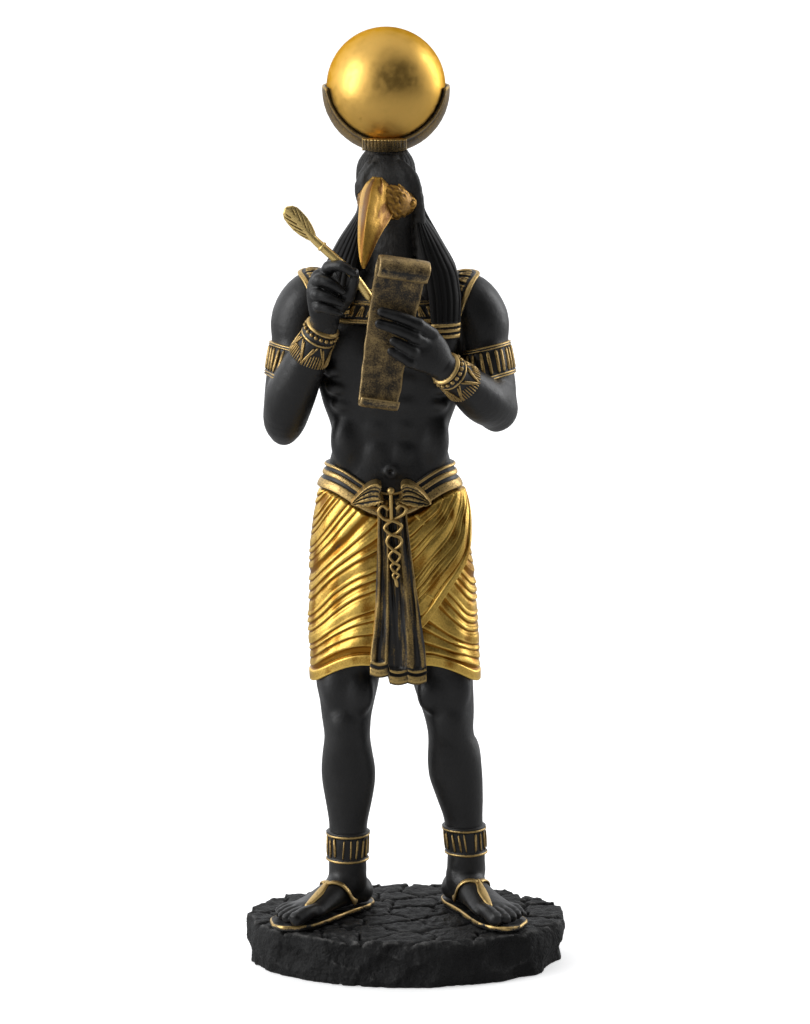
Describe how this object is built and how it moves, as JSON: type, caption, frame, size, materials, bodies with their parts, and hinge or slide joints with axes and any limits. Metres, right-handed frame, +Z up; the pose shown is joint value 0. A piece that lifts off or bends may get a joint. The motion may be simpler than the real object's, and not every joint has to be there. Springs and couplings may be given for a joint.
{
  "type": "egyptian deity figure",
  "caption": "Standing ibis-headed scribe figure on an oval rock base, with a sun disk in a crescent on its head, holding a quill and an open scroll.",
  "frame": {"origin": "the middle of the base's flat underside", "axes": "+Z up along the figure's height, the figure looks along -Y, +X towards the figure's left hand"},
  "size_m": [0.1053, 0.0712, 0.3102],
  "materials": {
    "rock_resin": "matt black cast resin, rough like cut rock",
    "black_resin": "matt black paint on cast resin, worn to a soft sheen on the edges",
    "bright_gold": "bright metallic gold paint on cast resin, satin",
    "antique_gold": "antique gold paint rubbed over black, bright on the rims and dark in the hollows",
    "pale_gold": "pale metallic gold paint, satin, dark in the grooves"
  },
  "bodies": {
    "root": {"base": "rock_resin", "figure": "black_resin", "sun_disk": "bright_gold", "scroll": "antique_gold", "quill": "pale_gold"}
  },
  "joints": []
}
